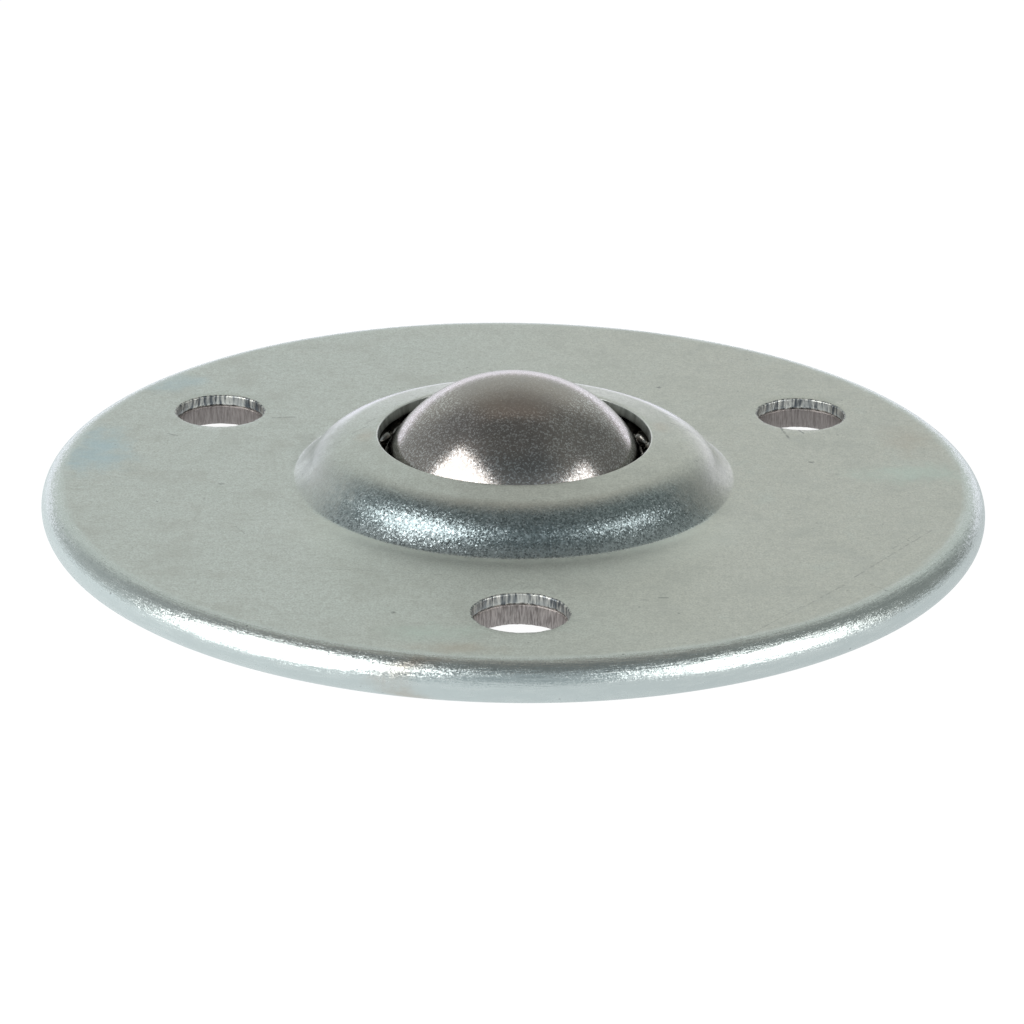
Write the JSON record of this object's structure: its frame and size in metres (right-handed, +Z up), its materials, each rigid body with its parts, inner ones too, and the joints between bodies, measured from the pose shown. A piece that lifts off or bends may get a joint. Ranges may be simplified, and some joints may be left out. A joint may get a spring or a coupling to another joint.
{
  "type": "ball transfer unit",
  "caption": "Flange-mounted ball transfer unit: a large steel ball rolling any way on small load balls in a pressed steel bowl under a domed cap.",
  "frame": {"origin": "centre of the main ball, which lies in the plane that the flange's rolled rim seats on, on the unit's axis", "axes": "+Z up the axis through the top of the main ball; one bolt hole is at -Y and the other two at 30 and 150 degrees from +X"},
  "size_m": [0.0826, 0.0826, 0.0291],
  "materials": {
    "zinc_plated_cap": "satin zinc plate",
    "bowl_plate": "plain hardened sheet",
    "main_ball": "polished steel, lightly worn",
    "load_balls": "polished"
  },
  "bodies": {
    "housing": {"top_cap": "zinc_plated_cap", "lower_body": "bowl_plate"},
    "load_balls": {"load_ball_bottom": "load_balls", "load_balls_row_1": "load_balls", "load_balls_row_2": "load_balls", "load_balls_row_3": "load_balls", "load_balls_row_4": "load_balls", "load_balls_row_5": "load_balls", "load_balls_row_6": "load_balls", "load_balls_row_7": "load_balls", "load_balls_row_8": "load_balls", "load_balls_row_9": "load_balls", "load_balls_under_cap": "load_balls", "return_balls": "load_balls"},
    "ball": {"main_ball": "main_ball"}
  },
  "joints": [
    {"name": "race_turn", "type": "hinge", "parent": "housing", "child": "load_balls", "pos_m": [0, 0, 0], "axis": [0, 0, 1], "continuous": true},
    {"name": "ball_roll", "type": "hinge", "parent": "load_balls", "child": "ball", "pos_m": [0, 0, 0], "axis": [1, 0, 0], "continuous": true}
  ]
}
